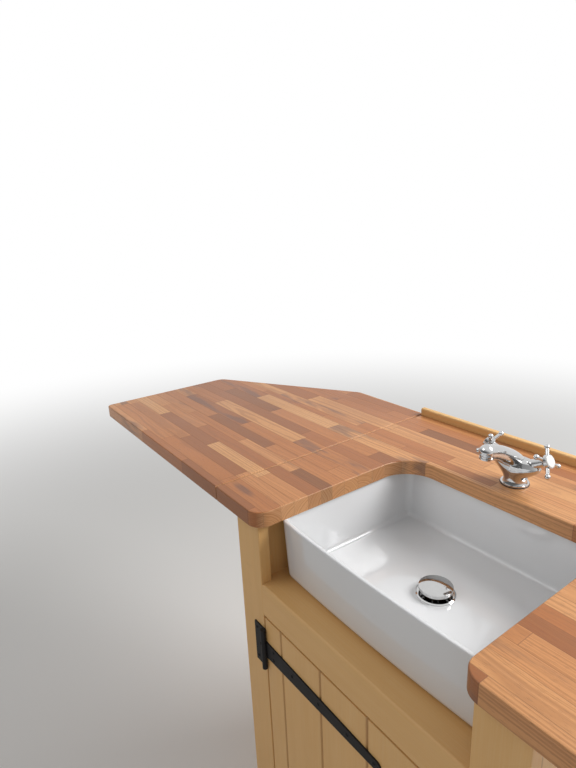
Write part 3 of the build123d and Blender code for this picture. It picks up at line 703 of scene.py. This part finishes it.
brass, wire, spot = new_finish("turned brass")
dull = mottle(spot, 26.0, 3.0)
shade(
    wire,
    BaseColor=blend(step(dull, 0.30, 0.80), BRIGHT_BRASS, DULL_BRASS),
    Metallic=1.0,
    Roughness=0.24 + dull * 0.26,
    Normal=relief(0.12, 0.0003, mottle(spot, 900.0, 2.0)),
)
dress(brass, "waste_nut", "tap_shank_nut", "flap_fixed_leaves", "flap_moving_leaves")


# The black ironwork: pressed tee hinges and a bent bar handle, stoved in satin black, its surface
# faintly pitted and rubbed brown here and there.
STOVED_BLACK = (0.010, 0.0095, 0.010)
RUBBED_BLACK = (0.032, 0.024, 0.020)

iron, wire, spot = new_finish("black iron")
rubbed = mottle(spot, 48.0, 5.0, 0.7)
shade(
    wire,
    BaseColor=blend(step(rubbed, 0.58, 0.76), STOVED_BLACK, RUBBED_BLACK),
    Roughness=0.42 + rubbed * 0.22,
    SpecularIORLevel=0.24,
    Normal=relief(0.30, 0.0005, mottle(spot, 520.0, 3.0, 0.6)),
)
dress(iron, "upper_hinge_plate", "lower_hinge_plate", "upper_hinge_strap", "lower_hinge_strap", "door_handle")


# The magnetic catch: a moulded white plastic case screwed up under the rail, and a zinc plated steel
# strip on the back of the door that it holds.
plastic, wire, spot = new_finish("white plastic")
stipple = mottle(spot, 1500.0, 1.0)
shade(
    wire,
    BaseColor=blend(stipple, (0.80, 0.79, 0.75), (0.74, 0.73, 0.68)),
    Roughness=0.48 + stipple * 0.1,
    Normal=relief(0.2, 0.0002, stipple),
)
dress(plastic, "catch_body")
zinc, wire, spot = new_finish("zinc plate")
spangle = wire.add("ShaderNodeTexVoronoi", {}, Vector=spot, Scale=420.0)["Distance"]
shade(
    wire,
    BaseColor=blend(spangle, (0.66, 0.66, 0.66), (0.50, 0.51, 0.52)),
    Metallic=1.0,
    Roughness=0.30 + spangle * 0.15,
)
dress(zinc, "catch_plate")


# The screws of the tee hinges: black round heads with a cross recess, driven from the front, three in
# each plate and six in each strap. Each is turned as the driver left it.
HEAD_SIDES = 28
HEAD_STEPS = 6
RECESS_LONG, RECESS_WIDE = 1.15, 0.26
TOWARDS_FRONT = math.pi / 2
IRON_FACE = -0.2795
IRON_HEAD = (0.0036, 0.0014)
# Places in from the plate's outer edge or back from the strap's tip, and up from the hinge's middle.
IN_PLATE = ((0.0075, 0.034), (0.0170, 0.0), (0.0075, -0.034))
IN_STRAP = ((0.2820, 0.0090), (0.2820, -0.0090), (0.2230, 0.0), (0.1480, 0.0), (0.0750, 0.0), (0.0140, 0.0))

screw_tree, wire, given = new_tree(
    "screw heads on points", Radius="Float", Height="Float", Tilt="Float", Seed="Int", Finish="Material"
)
radius, height = given["Radius"], given["Height"]
blank = wire.add(
    "GeometryNodeMeshCone", {"fill_type": "NGON"},
    Vertices=HEAD_SIDES, SideSegments=HEAD_STEPS, RadiusTop=0.0, RadiusBottom=radius, Depth=height,
)["Mesh"]
x, y, z = split(wire.add("GeometryNodeInputPosition"))
outwards = wire.maths("MINIMUM", (x * x + y * y) / (radius * radius), 1.0)
domed = wire.add("ShaderNodeCombineXYZ", {}, x, y, height * (1.0 - outwards) ** 0.5)
dome = wire.add("GeometryNodeSetPosition", {}, Geometry=blank, Position=domed)
recess = []
raised = wire.add("ShaderNodeCombineXYZ", {}, 0.0, 0.0, height)
for long, wide in ((RECESS_LONG, RECESS_WIDE), (RECESS_WIDE, RECESS_LONG)):
    size = wire.add("ShaderNodeCombineXYZ", {}, radius * long, radius * wide, height)
    bar = wire.add("GeometryNodeMeshCube", {}, Size=size)["Mesh"]
    recess.append(wire.add("GeometryNodeTransform", {}, Geometry=bar, Translation=raised))
head = wire.add(
    "GeometryNodeMeshBoolean", {"operation": "DIFFERENCE", "solver": "EXACT"}, Mesh1=dome, Mesh2=recess
)["Mesh"]
tilt = wire.add("ShaderNodeCombineXYZ", {}, given["Tilt"], 0.0, 0.0)
heads = wire.add("GeometryNodeInstanceOnPoints", {}, Points=given["Geometry"], Instance=head, Rotation=tilt)
chance = wire.add(
    "FunctionNodeRandomValue", {"data_type": "FLOAT"}, Min=0.0, Max=math.tau, Seed=given["Seed"]
)
turned = wire.add("ShaderNodeCombineXYZ", {}, 0.0, 0.0, chance)
heads = wire.add("GeometryNodeRotateInstances", {}, Instances=heads, Rotation=turned)
end_tree(heads, given["Finish"])


def drive(name, points, size, towards, seed, finish, body, slot):
    """Screw heads on their points. size is a head's radius and height."""
    radius, height = size
    grow(
        name, points, [], screw_tree, body, slot,
        Radius=radius, Height=height, Tilt=towards, Seed=seed, Finish=finish,
    )


for name, seed in (("upper", 3), ("lower", 8)):
    plate_low, plate_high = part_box(name + "_hinge_plate")
    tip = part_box(name + "_hinge_strap")[1].x
    level = (plate_low.z + plate_high.z) / 2
    plate_points = [(plate_low.x + across, IRON_FACE, level + up) for across, up in IN_PLATE]
    strap_points = [(tip - back, IRON_FACE, level + up) for back, up in IN_STRAP]
    drive(
        name + "_plate_screws", plate_points, IRON_HEAD, TOWARDS_FRONT, seed, iron, "cabinet", "black_iron"
    )
    drive(
        name + "_strap_screws", strap_points, IRON_HEAD, TOWARDS_FRONT, seed, iron, "door", "black_iron"
    )


# The screws of the flap's butt hinges: flatter brass heads, driven up from below, three in each leaf
# of the three hinges.
TOWARDS_FLOOR = math.pi
LEAF_HEAD = (0.0038, 0.0011)
LEAF_THICK = 0.0025
LEAF_PLACES = (0.0750, 0.3000, 0.5250)
# Places in from a leaf's free edge, and along it from its middle.
IN_LEAF = ((0.0090, 0.0220), (0.0200, 0.0), (0.0090, -0.0220))

top_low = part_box("worktop")[0]
leaf_z = top_low.z - LEAF_THICK
for name, outer, inward, body in (
    ("flap_fixed_leaf_screws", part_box("flap_fixed_leaves")[1].x, -1.0, "cabinet"),
    ("flap_moving_leaf_screws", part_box("flap_moving_leaves")[0].x, 1.0, "flap"),
):
    leaf_points = [
        (outer + inward * back, top_low.y + place + along, leaf_z)
        for place in LEAF_PLACES
        for back, along in IN_LEAF
    ]
    drive(name, leaf_points, LEAF_HEAD, TOWARDS_FLOOR, 5, brass, body, "turned_brass")


# The screws inside the cupboard: zinc plated, through the door's ledges into its boards, through the
# boards into the handle's feet, and up through the catch into the rail.
TOWARDS_BACK = -math.pi / 2
LEDGE_HEAD = (0.0040, 0.0013)
LEDGE_PLACES = (0.0400, 0.1060, 0.2190, 0.3320, 0.3900)
LEDGE_UP = 0.0220
HANDLE_HEAD = (0.0050, 0.0022)
HANDLE_FOOT = 0.0110
CATCH_HEAD = (0.0032, 0.0012)
CATCH_IN = 0.007

for name, seed in (("upper", 2), ("lower", 6)):
    ledge_low, ledge_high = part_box(name + "_door_ledge")
    level = (ledge_low.z + ledge_high.z) / 2
    ledge_points = [
        (door_low.x + along, ledge_high.y, level + up)
        for along in LEDGE_PLACES
        for up in (LEDGE_UP, -LEDGE_UP)
    ]
    drive(name + "_ledge_screws", ledge_points, LEDGE_HEAD, TOWARDS_BACK, seed, zinc, "door", "zinc_plate")

handle_low, handle_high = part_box("door_handle")
handle_x = (handle_low.x + handle_high.x) / 2
handle_points = [
    (handle_x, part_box("upper_door_ledge")[1].y, handle_high.z - HANDLE_FOOT),
    (handle_x, door_high.y, handle_low.z + HANDLE_FOOT),
]
drive("handle_screws", handle_points, HANDLE_HEAD, TOWARDS_BACK, 4, zinc, "door", "zinc_plate")

catch_y = (catch_low.y + catch_high.y) / 2
catch_points = [(x, catch_y, catch_low.z) for x in (catch_low.x + CATCH_IN, catch_high.x - CATCH_IN)]
drive("catch_screws", catch_points, CATCH_HEAD, TOWARDS_FLOOR, 7, zinc, "cabinet", "zinc_plate")
